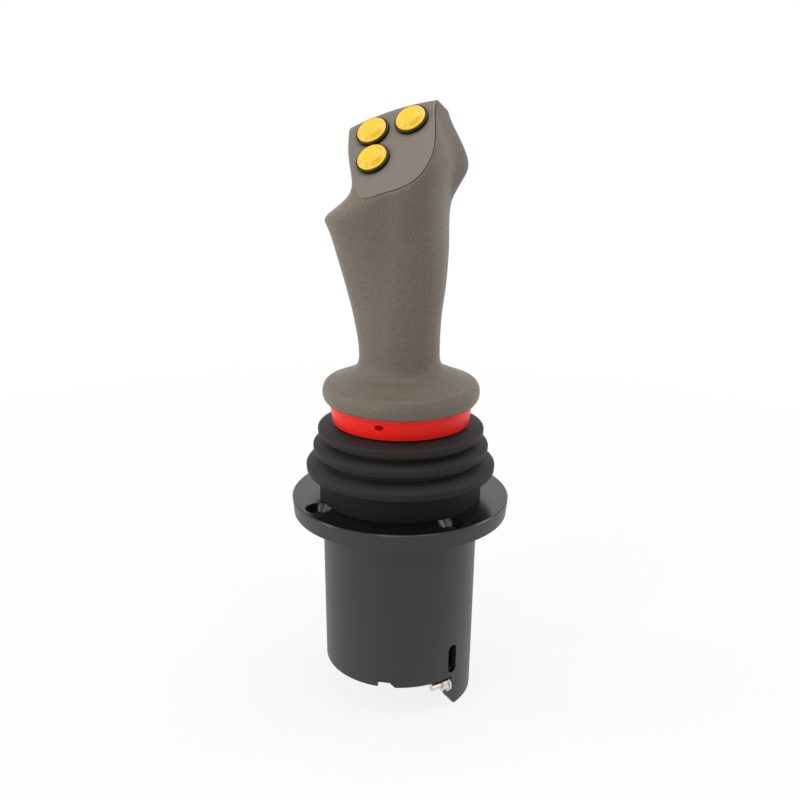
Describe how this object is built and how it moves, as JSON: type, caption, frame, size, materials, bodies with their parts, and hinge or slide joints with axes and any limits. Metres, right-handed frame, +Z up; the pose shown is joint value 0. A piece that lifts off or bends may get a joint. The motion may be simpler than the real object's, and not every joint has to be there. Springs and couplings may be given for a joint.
{
  "type": "industrial joystick",
  "caption": "Panel mounted two axis joystick: flanged can, rubber bellows, red clamp ring and a grained hand grip with push buttons on its sloped face.",
  "frame": {"origin": "centre of the flange's underside, the face that rests on the panel", "axes": "+Z up the lever at rest; the operator sits on the -Y side, and the button face looks towards -Y and up"},
  "size_m": [0.111, 0.111, 0.3041],
  "materials": {
    "housing_plastic": "black moulded plastic, flange top glossier",
    "bellows_rubber": "matte black rubber",
    "clamp_red": "satin red",
    "grip_plastic": "fine leather grain, warm grey",
    "button_yellow": "glossy yellow",
    "bezel_plastic": "black satin",
    "screw_steel": "zinc plated",
    "plated_steel": "bright plated",
    "spring_steel": "drawn wire",
    "bush_bronze": "sintered bronze",
    "gimbal_metal": "machined",
    "magnet_metal": "nickel plated",
    "circuit_board": "green solder mask",
    "connector_plastic": "black glass filled plastic",
    "lamp_red": "clear red"
  },
  "bodies": {
    "base": {"housing": "housing_plastic", "bellows": "bellows_rubber", "gimbal_frame": "gimbal_metal", "frame_screws": "screw_steel", "pivot_bushes_x": "bush_bronze", "sensor_board_x": "circuit_board", "centring_spring_x": "spring_steel", "main_board": "circuit_board", "board_standoffs": "screw_steel", "board_screws": "screw_steel", "connector_housing": "connector_plastic", "connector_pins": "bush_bronze", "base_cover": "housing_plastic", "cover_screws": "screw_steel", "status_lamp": "lamp_red", "earth_stud": "plated_steel", "earth_washer": "plated_steel", "earth_nut": "plated_steel"},
    "gimbal": {"gimbal_ring": "gimbal_metal", "pivot_pins_x": "screw_steel", "centring_arm_x": "gimbal_metal", "magnet_x": "magnet_metal", "pivot_bushes_y": "bush_bronze", "sensor_board_y": "circuit_board", "centring_spring_y": "spring_steel"},
    "lever": {"pivot_hub": "gimbal_metal", "pivot_pins_y": "screw_steel", "centring_arm_y": "gimbal_metal", "magnet_y": "magnet_metal", "lever_tube": "screw_steel", "clamp_ring": "clamp_red", "clamp_screw": "screw_steel", "grip_core": "connector_plastic", "rear_shell": "grip_plastic", "front_shell": "grip_plastic", "face_plate": "grip_plastic", "shell_screws": "screw_steel", "button_nuts": "connector_plastic", "bezel_upper_left": "bezel_plastic", "spring_upper_left": "spring_steel", "switch_upper_left": "connector_plastic", "bezel_upper_right": "bezel_plastic", "spring_upper_right": "spring_steel", "switch_upper_right": "connector_plastic", "bezel_lower_left": "bezel_plastic", "spring_lower_left": "spring_steel", "switch_lower_left": "connector_plastic"},
    "upper_left_button": {"cap_upper_left": "button_yellow"},
    "upper_right_button": {"cap_upper_right": "button_yellow"},
    "lower_left_button": {"cap_lower_left": "button_yellow"}
  },
  "joints": [
    {"name": "tilt_fore_aft", "type": "hinge", "parent": "base", "child": "gimbal", "pos_m": [0, 0, -0.014], "axis": [1, 0, 0], "range_deg": [-18, 18], "stiffness_Nm_per_rad": 3, "deforming": ["bellows", "centring_spring_x"]},
    {"name": "tilt_side", "type": "hinge", "parent": "gimbal", "child": "lever", "pos_m": [0, 0, -0.014], "axis": [0, 1, 0], "range_deg": [-18, 18], "stiffness_Nm_per_rad": 3, "deforming": ["centring_spring_y"]},
    {"name": "press_upper_left", "type": "slide", "parent": "lever", "child": "upper_left_button", "axis": [0.2067, 0.7071, -0.6762], "range_m": [0, 0.0015], "stiffness_N_per_m": 1500, "springref_m": -0.0008, "deforming": ["spring_upper_left"]},
    {"name": "press_upper_right", "type": "slide", "parent": "lever", "child": "upper_right_button", "axis": [0.2067, 0.7071, -0.6762], "range_m": [0, 0.0015], "stiffness_N_per_m": 1500, "springref_m": -0.0008, "deforming": ["spring_upper_right"]},
    {"name": "press_lower_left", "type": "slide", "parent": "lever", "child": "lower_left_button", "axis": [0.2067, 0.7071, -0.6762], "range_m": [0, 0.0015], "stiffness_N_per_m": 1500, "springref_m": -0.0008, "deforming": ["spring_lower_left"]}
  ]
}
